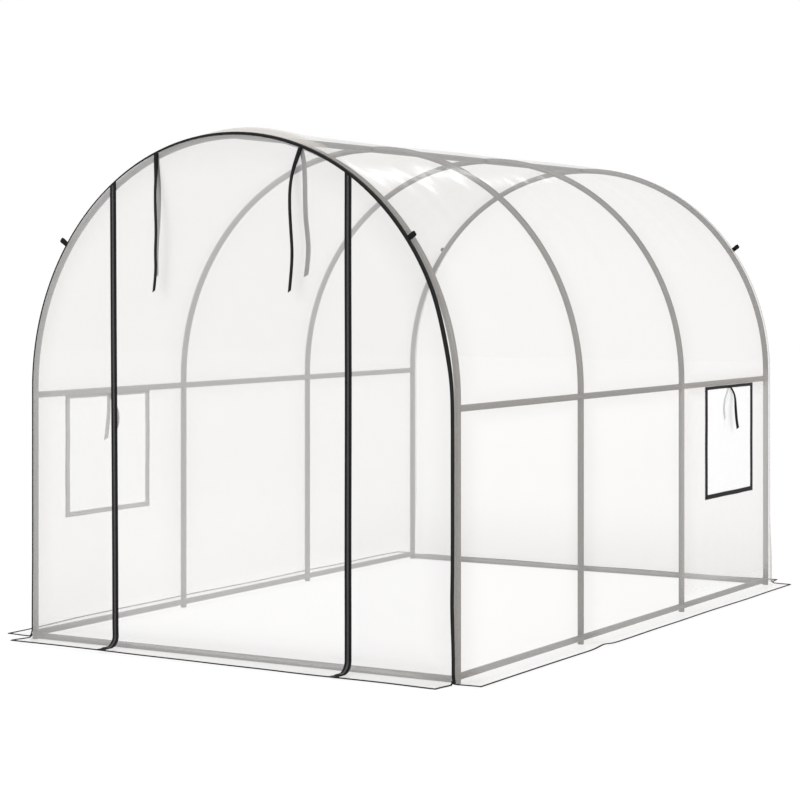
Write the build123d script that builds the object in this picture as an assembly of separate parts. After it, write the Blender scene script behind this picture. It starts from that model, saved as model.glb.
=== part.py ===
from build123d import *
import math
import os

# Walk-in polytunnel greenhouse: four steel hoops joined by rails, under a clear film cover.
# Millimetres, +Z up, +Y along the tunnel away from the door, +X to the right of the door.
# The origin is on the ground in the middle of the tunnel.

# Steel frame, measured over the outside of the tubes
frame_width = 2000
frame_length = 3000
leg_length = 1022
bay_count = 3
tube_diameter = 25
tube_wall = 1

# Swaged ends of the arches and the fit of the rails
spigot_length = 40
spigot_clearance = 0.2
seat_gap = 0.3

# Rails: base rails by the height of their centre, side rails by their drop below the arch
side_base_rail_height = 24
end_base_rail_height = 14
side_rail_drop = 32

# Film cover
film = 2
cover_gap = 0.3
end_overhang = 43
skirt_width = 100
skirt_bend = 40

# Door zips
zip_spacing = 1090
zip_width = 30
coil_width = 7
coil_height = 2

# Windows
window_length = 560
window_height = 506
window_drop = 12
window_shift = 11
border_side = 28
border_bottom = 20
border_top = 14
border_thickness = 1.5

# Tape, edging and guy loops
binding_width = 24
binding_thickness = 1.5
edging_width = 5
edging_thickness = 3
loop_angle = 36
loop_reach = 30
loop_width = 20
loop_fold = 9
loop_webbing = 2

# Tie straps: flat webbing sewn on at the top
tie_width = 20
tie_thickness = 2
door_tie_spacing = 676
overrun = 10

# Routes of the tie straps, as (distance out from the film face, drop below the sewn end)
door_tie_seat = 16
window_tie_seat = 4
door_outer_route = [
    (1.4, 0), (5, 42), (14, 90), (26, 150), (35, 225), (38, 310), (36, 390), (32, 465), (33, 538)]
door_inner_route = [
    (1.4, 0), (4, 40), (11, 84), (19, 138), (24, 205), (25, 275), (23, 342), (20, 410), (20, 480)]
window_outer_route = [
    (1.4, 0), (5, 20), (12, 43), (21, 69), (28, 100), (31, 132), (30, 164), (31, 196)]
window_inner_route = [
    (1.4, 0), (4, 20), (9, 43), (14, 68), (17, 96), (17, 124), (15, 152)]
arc_share = 0.45

# Sizes that follow from the ones above
tube_radius = tube_diameter / 2
arch_radius = frame_width / 2 - tube_radius
frame_run = frame_length - tube_diameter
bay = frame_run / bay_count
hoop_places = [bay * step - frame_run / 2 for step in range(bay_count + 1)]
hoop_names = ["front", "second", "third", "back"]
spigot_radius = tube_radius - tube_wall - spigot_clearance
cover_inside = arch_radius + tube_radius + cover_gap
cover_outside = cover_inside + film
cover_half = frame_run / 2 + end_overhang
wall_foot = film + skirt_bend
panel_face = cover_half + film
zip_place = zip_spacing / 2
zip_edge = zip_width / 2
side_rail_height = leg_length - side_rail_drop
window_offset = (frame_run - bay) / 2 + window_shift
window_top = side_rail_height - window_drop
window_bottom = window_top - window_height
ridge_height = leg_length + arch_radius
arch_axis = Axis((0, 0, 0), (0, -1, 0))

os.makedirs("parts", exist_ok=True)


def save(name, *solids):
    """Write one node, with every solid that it is made of."""
    shape = solids[0] if len(solids) == 1 else Compound(children=list(solids))
    export_step(shape, f"parts/{name}.step")
    return shape


def along(direction, origin):
    """A place whose local Z runs along a direction."""
    return Plane(origin=origin, z_dir=direction)


def straight_tube(length):
    """A plain length of the frame's tube, standing on its end."""
    return extrude(Circle(tube_radius) - Circle(tube_radius - tube_wall), amount=length)


# Hoops: straight legs, and an arch whose swaged ends plug into them
leg = straight_tube(leg_length)
spigot = extrude(Circle(spigot_radius), amount=-spigot_length)
arch = revolve(Pos(X=arch_radius) * Circle(tube_radius), arch_axis, 180)
arch = Pos(Z=leg_length) * (arch + Pos(X=arch_radius) * spigot + Pos(X=-arch_radius) * spigot)
for name, place in zip(hoop_names, hoop_places):
    save(f"{name}_hoop_legs", Pos(-arch_radius, place) * leg, Pos(arch_radius, place) * leg)
    save(f"{name}_hoop_arch", Pos(Y=place) * arch)


# Rails: tubes cut to a saddle at each end, where they meet the hoops
def saddle_cut(direction, origin):
    """The room that a tube takes where a rail meets it."""
    room = extrude(Circle(tube_radius + seat_gap), amount=tube_diameter, both=True)
    return along(direction, origin) * room


def bay_rail(x, height, hoop_direction):
    """One rail line along the tunnel, a tube in each bay; the hoops run in a direction there."""
    tubes = []
    for start, stop in zip(hoop_places, hoop_places[1:]):
        rail = along((0, 1, 0), (x, start, height)) * straight_tube(bay)
        rail = rail - saddle_cut(hoop_direction, (x, start, height))
        tubes.append(rail - saddle_cut(hoop_direction, (x, stop, height)))
    return tubes


upright = (0, 0, 1)
across = (1, 0, 0)
save("left_base_rail", *bay_rail(-arch_radius, side_base_rail_height, upright))
save("right_base_rail", *bay_rail(arch_radius, side_base_rail_height, upright))
save("left_side_rail", *bay_rail(-arch_radius, side_rail_height, upright))
save("right_side_rail", *bay_rail(arch_radius, side_rail_height, upright))
save("ridge_rail", *bay_rail(0, ridge_height, across))

end_tube_run = frame_width - 2 * tube_diameter - 2 * seat_gap
for name, place in (("front", hoop_places[0]), ("back", hoop_places[-1])):
    start = (-end_tube_run / 2, place, end_base_rail_height)
    save(f"{name}_base_rail", along(across, start) * straight_tube(end_tube_run))


# Film cover: one long sheet over the hoops, in walls and roof halves
def box_between(low, high):
    """A box from its lowest corner to its highest."""
    size = [b - a for a, b in zip(low, high)]
    return Pos(*low) * Box(*size, align=(Align.MIN, Align.MIN, Align.MIN))


def both_sides(shape):
    """A right-hand piece and its mirror image on the left."""
    return mirror(shape, about=Plane.YZ), shape


def window_box(side, inside, outside, margins):
    """A box through a side wall at its window, drawn in by the margins: side, bottom, top."""
    edge, bottom, top = margins
    middle = side * window_offset
    low = (inside, middle - window_length / 2 + edge, window_bottom + bottom)
    high = (outside, middle + window_length / 2 - edge, window_top - top)
    block = box_between(low, high)
    return block if side > 0 else mirror(block, about=Plane.YZ)


border_margins = (border_side, border_bottom, border_top)
opening_margins = (border_side / 2, border_bottom / 2, border_top / 2)
wall = box_between((cover_inside, -cover_half, wall_foot), (cover_outside, cover_half, leg_length))
for name, side, sheet in zip(("left", "right"), (-1, 1), both_sides(wall)):
    opening = window_box(side, cover_inside - overrun, cover_outside + overrun, opening_margins)
    save(f"{name}_wall_cover", sheet - opening)
    save(f"{name}_window_flap", window_box(side, cover_inside, cover_outside, opening_margins))
    face = cover_outside + border_thickness
    border = window_box(side, cover_outside, face, (0, 0, 0))
    inner = window_box(side, cover_outside - overrun, face + overrun, border_margins)
    save(f"{name}_window_border", border - inner)

quarter = Circle(cover_outside) - Circle(cover_inside)
quarter = quarter & (Pos(cover_outside / 2, cover_outside / 2) * Rectangle(cover_outside, cover_outside))
roof = Pos(Z=leg_length) * extrude(Plane.XZ * quarter, amount=cover_half, both=True)
for name, sheet in zip(("left", "right"), both_sides(roof)):
    save(f"{name}_roof_cover", sheet)


# End panels: flat sheets with the outline of the tunnel
def arch_outline(half_width):
    """The tunnel's cross-section from the foot of the walls to the ridge."""
    height = leg_length - wall_foot
    lower = Pos(Y=wall_foot + height / 2) * Rectangle(2 * half_width, height)
    return lower + Pos(Y=leg_length) * Circle(half_width) - Pos(Y=leg_length - half_width / 2) * (
        Rectangle(2 * half_width, half_width)) + lower


def upright_band(start, stop):
    """A band of the end face between two distances from the middle."""
    tall = ridge_height + tube_diameter
    return Pos((start + stop) / 2, tall / 2) * Rectangle(stop - start, tall)


def front_sheet(sketch, thickness):
    """A sheet of the front panel, standing against the front ends of the cover."""
    return Pos(Y=-cover_half) * extrude(Plane.XZ * sketch, amount=thickness)


end_outline = arch_outline(cover_outside)
door_edge = zip_place - zip_edge
side_edge = zip_place + zip_edge
save("front_left_panel", front_sheet(end_outline & upright_band(-cover_outside, -side_edge), film))
save("front_right_panel", front_sheet(end_outline & upright_band(side_edge, cover_outside), film))
save("front_door", front_sheet(end_outline & upright_band(-door_edge, door_edge), film))
save("back_panel", Pos(Y=panel_face) * extrude(Plane.XZ * end_outline, amount=film))


# Skirts: each sheet turns outward at its foot and lies on the ground
def skirt_strip(low, high, length):
    """A strip of the skirt between two depths from its underside, for a wall facing +X."""
    middle = Pos(wall_foot, wall_foot)
    bend = middle * (Circle(wall_foot - low) - Circle(wall_foot - high))
    bend = bend & (Pos(wall_foot / 2, wall_foot / 2) * Rectangle(wall_foot, wall_foot))
    flat_run = film + skirt_width - wall_foot
    flat = Pos(wall_foot + flat_run / 2, (low + high) / 2) * Rectangle(flat_run, high - low)
    return extrude(Plane.XZ * (bend + flat), amount=length / 2, both=True)


def at_front(shape, place=0):
    """Turn a strip that faces +X to face the front, with its middle at a place across it."""
    return Pos(X=place) * Rot(Z=-90) * Pos(X=cover_half) * shape


side_skirt = Pos(X=cover_inside) * skirt_strip(0, film, 2 * cover_half)
for name, sheet in zip(("left", "right"), both_sides(side_skirt)):
    save(f"{name}_skirt", sheet)
save("back_skirt", Rot(Z=180) * at_front(skirt_strip(0, film, 2 * cover_outside)))
corner_run = cover_outside - side_edge
corner_skirt = at_front(skirt_strip(0, film, corner_run), side_edge + corner_run / 2)
save("front_corner_skirts", *both_sides(corner_skirt))
save("door_skirt", at_front(skirt_strip(0, film, 2 * door_edge)))

# Door zips: a tape with a raised coil, from the arch to the edge of the skirt
coil_outline = arch_outline(cover_outside - coil_width)
tape = front_sheet(end_outline & upright_band(door_edge, side_edge), film)
coil_band = upright_band(zip_place - coil_width / 2, zip_place + coil_width / 2)
coil = front_sheet(coil_outline & coil_band, film + coil_height)
foot_tape = at_front(skirt_strip(0, film, zip_width), zip_place)
foot_coil = at_front(skirt_strip(0, film + coil_height, coil_width), zip_place)
door_zip = tape + coil + foot_tape + foot_coil
for name, strip in zip(("left", "right"), both_sides(door_zip)):
    save(f"{name}_door_zip", strip)


# Edging: a thin cord-like hem round the three free edges of each skirt
def skirt_hem(length):
    """A flat U on the ground round a skirt that faces +X."""
    near = wall_foot
    far = film + skirt_width
    side = length / 2
    rim = side + edging_width
    outer = box_between((near, -rim, 0), (far + edging_width, rim, edging_thickness))
    inner = box_between((near - overrun, -side, -overrun), (far, side, edging_thickness + overrun))
    return outer - inner


side_hem = Pos(X=cover_inside) * skirt_hem(2 * cover_half)
front_hem = at_front(skirt_hem(2 * cover_outside))
save("skirt_edging", *both_sides(side_hem), front_hem, Rot(Z=180) * front_hem)

# Edge binding: tape over the seam between the long sheet and each end panel
binding_outline = arch_outline(cover_outside + binding_thickness) - arch_outline(cover_outside)
front_binding = Pos(Y=binding_width - panel_face) * extrude(Plane.XZ * binding_outline, amount=binding_width)
save("front_edge_binding", front_binding)
save("back_edge_binding", mirror(front_binding, about=Plane.XZ))

# Guy loops: folded webbing tabs sewn on over the binding
loop_base = cover_outside + binding_thickness + seat_gap
eye_radius = loop_fold / 2 - loop_webbing
tab_run = loop_reach - loop_fold / 2


def rounded_tab(half_height, run, start):
    """A tab that starts square and ends in a half circle."""
    body = Pos(start + run / 2) * Rectangle(run, 2 * half_height)
    return body + Pos(start + run) * Circle(half_height)


eye = rounded_tab(eye_radius, tab_run - loop_webbing, loop_base + loop_webbing)
tab = rounded_tab(loop_fold / 2, tab_run, loop_base) - eye
loop = extrude(Plane.XZ * tab, amount=loop_width / 2, both=True)
loop = Pos(0, binding_width / 2 - panel_face, leg_length) * Rot(Y=-loop_angle) * Rot(X=90) * loop
front_loops = both_sides(loop)
save("guy_loops", *front_loops, *[mirror(tab, about=Plane.XZ) for tab in front_loops])


# Tie straps: each hangs from its seam on a smooth line of runs and arcs
def tie_strap(route):
    """A flat strap in the XZ plane along a route, with arcs as large as its runs allow."""
    points = [Vector(out, 0, -drop) for out, drop in route]
    radii = []
    for before, here, after in zip(points, points[1:], points[2:]):
        run = min((here - before).length, (after - here).length)
        turn = math.radians((here - before).get_angle(after - here))
        radii.append(arc_share * run / math.tan(turn / 2))
    path = FilletPolyline(*points, radius=radii)
    section = Plane(origin=path @ 0, x_dir=(0, 1, 0), z_dir=path % 0) * Rectangle(tie_width, tie_thickness)
    strap = sweep(section, path=path)
    plain = path.length * tie_width * tie_thickness
    print("tie", round(path.length, 1), "long, radii", [round(radius) for radius in radii])
    print("volume", round(strap.volume), "against", round(plain), "for section times length")
    return strap


door_outer = tie_strap(door_outer_route)
door_inner = tie_strap(door_inner_route)
window_outer = tie_strap(window_outer_route)
window_inner = tie_strap(window_inner_route)
door_tie_place = door_tie_spacing / 2
door_tie_top = leg_length + math.sqrt(cover_outside ** 2 - door_tie_place ** 2) - door_tie_seat
window_tie_top = window_top - window_tie_seat
border_face = cover_outside + border_thickness
for name, side in (("left", -1), ("right", 1)):
    place = side * door_tie_place
    save(f"{name}_door_tie_outer", Pos(place, -panel_face, door_tie_top) * Rot(Z=-90) * door_outer)
    save(f"{name}_door_tie_inner", Pos(place, -cover_half, door_tie_top) * Rot(Z=90) * door_inner)
    at_window = Pos(0, side * window_offset, window_tie_top) * Rot(Z=0 if side > 0 else 180)
    save(f"{name}_window_tie_outer", at_window * Pos(X=border_face) * window_outer)
    save(f"{name}_window_tie_inner", at_window * Pos(X=cover_inside) * Rot(Z=180) * window_inner)

print("door ties start at", round(door_tie_top, 1), "and window ties at", round(window_tie_top, 1))
skirt_reach = skirt_width + edging_width
print("overall", 2 * (cover_outside + skirt_reach), "x", 2 * (panel_face + skirt_reach))
print("height", leg_length + cover_outside + binding_thickness)
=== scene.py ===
# %% [markdown]
# A polytunnel greenhouse, dressed in Blender.
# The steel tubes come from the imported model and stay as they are. Everything soft is made here: the
# film cover, the door end, the window panes, the black tapes, the zips, the hems and the tie straps.
# All lengths are metres and every piece is made where it belongs, so nothing is moved afterwards.

# %% Load the frame
import math

import bmesh
import bpy
from mathutils import Matrix, Vector, noise


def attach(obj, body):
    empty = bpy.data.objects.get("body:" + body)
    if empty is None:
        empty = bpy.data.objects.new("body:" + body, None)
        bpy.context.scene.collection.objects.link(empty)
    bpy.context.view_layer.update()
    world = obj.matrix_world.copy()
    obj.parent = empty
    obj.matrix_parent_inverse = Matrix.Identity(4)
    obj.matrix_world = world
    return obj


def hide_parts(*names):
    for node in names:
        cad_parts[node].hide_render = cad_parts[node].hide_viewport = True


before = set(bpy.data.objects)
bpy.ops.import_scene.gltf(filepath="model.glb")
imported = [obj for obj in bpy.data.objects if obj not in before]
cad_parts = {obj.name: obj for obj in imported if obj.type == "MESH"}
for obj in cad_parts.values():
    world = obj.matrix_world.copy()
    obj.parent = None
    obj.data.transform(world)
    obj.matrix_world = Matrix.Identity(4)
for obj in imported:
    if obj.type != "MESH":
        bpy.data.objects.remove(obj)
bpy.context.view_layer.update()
scene = bpy.context.scene

# %% [markdown]
# The camera stands to the right of the door end, a little below the ridge, and looks level. A level
# camera keeps the tubes upright in the picture, so the frame is moved with the lens shift instead of
# a tilt. The numbers come from fitting the hoops and rails of the real one.


# %% Camera
def put(name, data):
    """A new object in the scene."""
    made = bpy.data.objects.new(name, data)
    scene.collection.objects.link(made)
    return made


CAMERA_PLACE = (4.8377, -8.2175, 1.4314)
CAMERA_TURN = math.radians(30.127)
camera_data = bpy.data.cameras.new("camera")
camera_data.sensor_width = 36.0
camera_data.lens = 96.887
camera_data.shift_x = -0.0554
camera_data.shift_y = -0.1423
camera_data.clip_end = 200.0
camera = put("camera", camera_data)
camera.location = CAMERA_PLACE
camera.rotation_euler = (math.pi / 2, 0.0, CAMERA_TURN)
scene.camera = camera
print("camera at", CAMERA_PLACE)

# %% [markdown]
# Node trees get long when every link is written out. This small class holds one socket, so that
# sums of sockets read like sums of numbers. The node method makes any other node: its settings go
# in first, because some of them change which sockets exist.


# %% Sockets with arithmetic
class Flow:
    """One socket of a node tree."""

    def __init__(self, tree, socket=None):
        self.tree = tree
        self.socket = socket

    def node(self, kind, settings=None, inputs=None, out=0):
        made = self.tree.nodes.new(kind)
        for name, value in (settings or {}).items():
            setattr(made, name, value)
        for name, value in (inputs or {}).items():
            if isinstance(value, Flow):
                self.tree.links.new(value.socket, made.inputs[name])
            else:
                made.inputs[name].default_value = value
        return Flow(self.tree, made.outputs[out])

    def math(self, operation, *values):
        numbered = dict(enumerate(values))
        return self.node("ShaderNodeMath", {"operation": operation}, numbered)

    def __add__(self, other):
        return self.math("ADD", self, other)

    def __sub__(self, other):
        return self.math("SUBTRACT", self, other)

    def __mul__(self, other):
        return self.math("MULTIPLY", self, other)

    __radd__ = __add__
    __rmul__ = __mul__


def new_material(name):
    """A material with a Principled shader; gives the material, its flow and the shader."""
    material = bpy.data.materials.new(name)
    material.use_nodes = True
    shader = material.node_tree.nodes["Principled BSDF"]
    return material, Flow(material.node_tree), shader


def feed(flow, shader, **inputs):
    """Link a flow or set a number on the shader's sockets; underscores stand for spaces."""
    for name, value in inputs.items():
        socket = shader.inputs[name.replace("_", " ")]
        if isinstance(value, Flow):
            flow.tree.links.new(value.socket, socket)
        else:
            socket.default_value = value


def blend_colours(flow, share, first, second):
    """A colour between two, by a share from 0 to 1."""
    return flow.node("ShaderNodeMix", {"data_type": "RGBA"}, {0: share, 6: first, 7: second}, out=2)


def speckle(flow, where, scale, detail, **more):
    """A noise texture."""
    inputs = {"Vector": where, "Scale": scale, "Detail": detail, **more}
    return flow.node("ShaderNodeTexNoise", None, inputs)


def relief(flow, strength, distance, height):
    """A bump from a height."""
    inputs = {"Strength": strength, "Distance": distance, "Height": height}
    return flow.node("ShaderNodeBump", None, inputs)


def grey(level, warm=0.0):
    return (level * (1 + warm), level, level * (1 - warm), 1.0)


# %% [markdown]
# Galvanised tube is dull grey steel under a thin skin of zinc. The zinc freezes in small crystals,
# which show as patches that are a little lighter or darker, and handling leaves faint streaks. Cells
# of a Voronoi texture make the crystals, and a stretched noise makes the streaks.


# %% Galvanised steel
def make_galvanised():
    material, flow, shader = new_material("galvanised_steel")
    where = flow.node("ShaderNodeTexCoord", out="Object")
    cells = {"Vector": where, "Scale": 130.0}
    crystal = flow.node("ShaderNodeTexVoronoi", {"feature": "F1"}, cells, out="Color")
    crystal = flow.node("ShaderNodeSeparateColor", None, {0: crystal})
    smudge = speckle(flow, where, 9.0, 4.0)
    grain = speckle(flow, where, 420.0, 2.0)
    share = 0.35 * crystal + 0.65 * smudge
    colour = blend_colours(flow, share, grey(0.200), grey(0.290, 0.01))
    rough = 0.46 + 0.16 * smudge + 0.05 * crystal
    bump = relief(flow, 0.12, 0.0004, grain)
    feed(flow, shader, Base_Color=colour, Roughness=rough, Metallic=0.35, Normal=bump)
    return material


galvanised = make_galvanised()
TUBES = [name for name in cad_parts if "hoop" in name or name.endswith("rail")]
for name in TUBES:
    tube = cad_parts[name]
    tube.data.materials.clear()
    tube.data.materials.append(galvanised)
print("galvanised tubes", len(TUBES))

# %% [markdown]
# The cover is clear polyethylene film. It lets most light through and scatters the rest, so it reads as
# a pale veil over the tubes. Alpha does that on a single layer. Each point of a sheet carries its own veil
# and paleness as attributes, and doubled film is milkier. The paleness also holds painted shade: the film is
# painted darker near the tubes and in other shaded places. A cloudy noise varies the veil, as handled film
# does.


# %% Film
FILM_GLOSS = 0.12


def make_film(name, dark, light):
    material, flow, shader = new_material(name)
    where = flow.node("ShaderNodeTexCoord", out="Object")
    cloud = speckle(flow, where, 1.6, 3.0)
    crumple = speckle(flow, where, 7.0, 5.0, Distortion=0.6)
    veil = flow.node("ShaderNodeAttribute", {"attribute_name": "veil"}, out="Fac")
    pale = flow.node("ShaderNodeAttribute", {"attribute_name": "pale"}, out="Fac")
    alpha = veil + 0.04 * (cloud - 0.5)
    rough = FILM_GLOSS + 0.05 * crumple
    bump = relief(flow, 0.45, 0.004, crumple)
    # A low paleness paints the film towards its dark colour: painted shade.
    film_tint_and_shade = blend_colours(flow, pale, dark, light)
    feed(flow, shader, Base_Color=film_tint_and_shade, Alpha=alpha, Roughness=rough, Normal=bump)
    return material


def set_veil(piece, rule):
    """Store on each point of a film piece how milky and how pale it is there; the paleness also carries
    painted shade.
    """
    values = [rule(vertex.co) for vertex in piece.data.vertices]
    for i, name in enumerate(("veil", "pale")):
        attribute = piece.data.attributes.new(name, "FLOAT", "POINT")
        attribute.data.foreach_set("value", [value[i] for value in values])


# The dark colour of the long film and the end film is painted shade, shown where the paleness is low.
long_film = make_film("clear_film", (0.565, 0.52, 0.475, 1.0), (0.893, 0.868, 0.843, 1.0))
end_film = make_film("end_film", (0.55, 0.535, 0.52, 1.0), (0.95, 0.94, 0.93, 1.0))
pane_film = make_film("pane_film", (0.97, 0.97, 0.97, 1.0), (0.99, 0.99, 0.985, 1.0))
print("films", long_film.name, end_film.name, pane_film.name)

# %% [markdown]
# Tapes, hems, zip tape and straps are woven polypropylene. Up close the weave shows as small raised
# ribs, from afar as a dull black. Each piece carries a UV map in metres, so the ribs run along the tape
# wherever it bends.


# %% Woven black
def make_woven(name, dark, light, rib, rough):
    material, flow, shader = new_material(name)
    lay = flow.node("ShaderNodeUVMap", {"uv_map": "UVMap"})
    along = flow.node("ShaderNodeSeparateXYZ", None, {0: lay}, out="X")
    across = flow.node("ShaderNodeSeparateXYZ", None, {0: lay}, out="Y")
    turn = 2 * math.pi / rib
    warp = flow.math("SINE", across * turn)
    weft = flow.math("SINE", along * turn)
    weave = 0.5 + 0.5 * (warp * weft)
    where = flow.node("ShaderNodeTexCoord", out="Object")
    fade = speckle(flow, where, 14.0, 4.0)
    share = 0.55 * weave + 0.45 * fade
    colour = blend_colours(flow, share, dark, light)
    bump = relief(flow, 0.5, 0.0005, weave)
    feed(flow, shader, Base_Color=colour, Roughness=rough + 0.1 * fade, Normal=bump, Specular_IOR_Level=0.12)
    return material


black_tape = make_woven("black_tape", grey(0.006), grey(0.015), 0.0016, 0.55)
zip_cloth = make_woven("zip_cloth", grey(0.004), grey(0.011), 0.0012, 0.6)
black_webbing = make_woven("black_webbing", grey(0.004), grey(0.010), 0.0026, 0.6)
grey_webbing = make_woven("grey_webbing", grey(0.07), grey(0.10), 0.0026, 0.65)
print("woven", black_tape.name, zip_cloth.name, black_webbing.name, grey_webbing.name)


# %% Nylon and lacquered metal
def make_moulded(name, dark, light, rough, metallic):
    material, flow, shader = new_material(name)
    where = flow.node("ShaderNodeTexCoord", out="Object")
    fleck = speckle(flow, where, 160.0, 3.0)
    colour = blend_colours(flow, fleck, dark, light)
    bump = relief(flow, 0.15, 0.0003, fleck)
    feed(flow, shader, Base_Color=colour, Roughness=rough + 0.1 * fleck, Metallic=metallic, Normal=bump)
    return material


coil_nylon = make_moulded("coil_nylon", grey(0.062), grey(0.095), 0.38, 0.0)
black_lacquer = make_moulded("black_lacquer", grey(0.008), grey(0.018), 0.3, 0.4)
thread = make_moulded("thread", grey(0.020), grey(0.040), 0.6, 0.0)
print("moulded", coil_nylon.name, black_lacquer.name, thread.name)

# %% [markdown]
# The cover's shape follows a rule: up one wall, over the half circle and down the other wall, then
# out along the ground as a skirt. The distance from the ridge along the film, called run here, tells
# where a point is. The film sags a little between the hoops, and at the ends it is pulled in to the seam.

# %% Shape of the cover
ARCH_Z = 1.022
FILM_R = 1.0013
END_Y = 1.5315
HOOP_Y = 1.4875
HOOP_R = 0.9875
TUBE_REST = FILM_R - HOOP_R
BAY = 2 * HOOP_Y / 3
HOOP_PLACES = [-HOOP_Y, -BAY / 2, BAY / 2, HOOP_Y]
FOOT_Z = 0.090
BEND_R = 0.041
GROUND_Z = 0.002
CORNER_R = 0.015
TIGHT_CORNER_R = 0.008
RIPPLE = 0.005
SKIRT_REACH = 0.101
SKIRT_RUN = FOOT_Z - GROUND_Z + SKIRT_REACH - (2 - math.pi / 2) * BEND_R
ARCH_RUN = FILM_R * math.pi / 2
WALL_RUN = ARCH_RUN + ARCH_Z - FOOT_Z
COVER_RUN = WALL_RUN + SKIRT_RUN
RAIL_Z = 0.990
WINDOW_Y = 1.00267
WINDOW_HALF = 0.280
WINDOW_LOW = 0.472
WINDOW_HIGH = 0.978
SAG = 0.012
RIDGE_PUFF = 0.009
SPRING_UP = 0.020
SPRING_RUN = 0.085


def ease(low, high, value):
    """A smooth step from 0 to 1."""
    share = min(1.0, max(0.0, (value - low) / (high - low)))
    return share * share * (3 - 2 * share)


def hump(value, middle, width):
    """A smooth hill of height 1 around a middle."""
    return math.exp(-(((value - middle) / width) ** 2))


def wobble(x, y, seed):
    """A smooth random number from about -1 to 1, the same on every run."""
    return noise.noise(Vector((x, y, seed)))


def skirt_point(share, bend):
    """Reach out from the wall and height, at a share of the way from the wall foot to the edge."""
    down, arc, flat = FOOT_Z - GROUND_Z - bend, bend * math.pi / 2, SKIRT_REACH - bend
    run = share * (down + arc + flat)
    if run < down:
        return 0.0, FOOT_Z - run
    if run < down + arc:
        turn = (run - down) / bend
        return bend * (1 - math.cos(turn)), GROUND_Z + bend * (1 - math.sin(turn))
    return bend + run - down - arc, GROUND_Z


def seam_pull(side, run, y):
    """How far the end seam is pulled in, at a run from the ridge; most on the door end's left leg."""
    top, leg, foot, bulge = 0.006, 0.009, 0.0, 0.0
    if run > ARCH_RUN:
        height = ARCH_Z - (min(run, WALL_RUN) - ARCH_RUN)
    else:
        height = ARCH_Z + FILM_R * math.cos(run / FILM_R)
    if y < 0 and side < 0:
        leg, foot = 0.036, 0.94
    elif y < 0:
        leg, foot = 0.0135, 0.70
        bulge = 0.010 * hump(height, 1.24, 0.16)
        bulge += 0.003 * hump(height, 0.25, 0.12)
    if run > ARCH_RUN:
        return bulge + leg * (foot + (1 - foot) * ease(FOOT_Z, 0.35, height))
    return bulge + top + (leg - top) * math.sin(run / FILM_R) ** 2


def end_drop(side, run, y):
    """The film rests on the end hoop, then runs straight to the seam."""
    over = abs(y) - HOOP_Y
    if over <= 0:
        return 0.0
    reach = END_Y - HOOP_Y
    level = TUBE_REST - seam_pull(side, run, y)
    far = math.hypot(reach, level)
    leave = math.atan2(level, reach) + math.acos(TUBE_REST / far)
    side, high = TUBE_REST * math.cos(leave), TUBE_REST * math.sin(leave)
    if over < side:
        return TUBE_REST - math.sqrt(TUBE_REST**2 - over**2)
    return TUBE_REST - (high + (level - high) * (over - side) / (reach - side))


def window_calm(side, y, z):
    """0 on and around a window, where the film is held flat, and 1 away from it."""
    off_y = max(0.0, abs(y - side * WINDOW_Y) - WINDOW_HALF)
    off_z = max(0.0, WINDOW_LOW - z, z - WINDOW_HIGH)
    return ease(0.01, 0.14, math.hypot(off_y, off_z))


def cover_push(side, run, y):
    """How far the film stands out from its even shape."""
    if abs(y) > HOOP_Y:
        return -end_drop(side, run, y)
    swing = math.sin(math.pi * ((y + HOOP_Y) % BAY) / BAY)
    if run < ARCH_RUN:
        turn = run / FILM_R
        hold = math.sin(2 * turn)
        fold = wobble(y * 7.0, side * run * 1.3, 3.1) + 0.5 * wobble(y * 15.0, side * run * 2.1, 9.4)
        crest = RIDGE_PUFF * swing * hump(run, 0.0, 0.26)
        behind = (y + HOOP_Y) / SPRING_RUN
        crest += SPRING_UP * behind * math.exp(1 - behind) * hump(run, 0.0, 0.38)
        return crest + swing * hold * (-SAG + 0.004 * fold)
    z = ARCH_Z - (run - ARCH_RUN)
    hold = ease(0.02, 0.16, abs(z - RAIL_Z)) * ease(0.06, 0.25, z) * window_calm(side, y, z)
    fold = wobble(y * 6.0, z * 1.1, 5.7 + side) + 0.4 * wobble(y * 13.0, z * 2.0, 1.9 + side)
    return swing * hold * (-0.004 + 0.005 * fold)


def side_lift(side, y):
    """Height of the long skirt's edge over the ground: the left one stands up a little."""
    wave = wobble(y * 2.6, side * 3.0, 7.7)
    if side < 0:
        return 0.0135 + 0.003 * wave + 0.009 * ease(-1.45, -1.05, y)
    return 0.0015 + 0.0015 * (1 + wave) + 0.007 * hump(y, -0.52, 0.06)


def side_bend(side, y):
    """Radius of the turn from wall to skirt: wide along the side, tight at the open corners."""
    corner = CORNER_R if side < 0 or y > 0 else TIGHT_CORNER_R
    return BEND_R + (corner - BEND_R) * ease(1.28, 1.51, abs(y))


def cover_point(run, y):
    """A point of the cover and its outward direction; run is negative on the left side."""
    side = -1.0 if run < 0 else 1.0
    away = abs(run)
    if away <= ARCH_RUN:
        turn = away / FILM_R
        out = Vector((side * math.sin(turn), 0.0, math.cos(turn)))
        push = FILM_R + cover_push(side, away, y)
        return Vector((0.0, y, ARCH_Z)) + push * out, out
    if away <= WALL_RUN:
        out = Vector((side, 0.0, 0.0))
        push = FILM_R + cover_push(side, away, y)
        return Vector((side * push, y, ARCH_Z - (away - ARCH_RUN))), out
    below = (away - WALL_RUN) / SKIRT_RUN
    reach, z = skirt_point(below, side_bend(side, y))
    share = ease(0.35, 1.0, below)
    ripple = RIPPLE * share * (wobble(y * 1.7, side * 5.0, 2.2) - 0.4)
    taper = 0.010 * share * ease(1.30, 1.53, abs(y))
    drop = end_drop(side, WALL_RUN, y) * (1 - share)
    out = Vector((side * (1 - below), 0.0, below)).normalized()
    y_in = y - math.copysign(taper, y)
    x = side * (FILM_R - drop + reach + ripple)
    raised = ease(0.0, 0.5, below) * side_lift(side, y)
    return Vector((x, y_in, z + raised)), out


print("film over the arch", round(2 * COVER_RUN, 3), "m")

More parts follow.
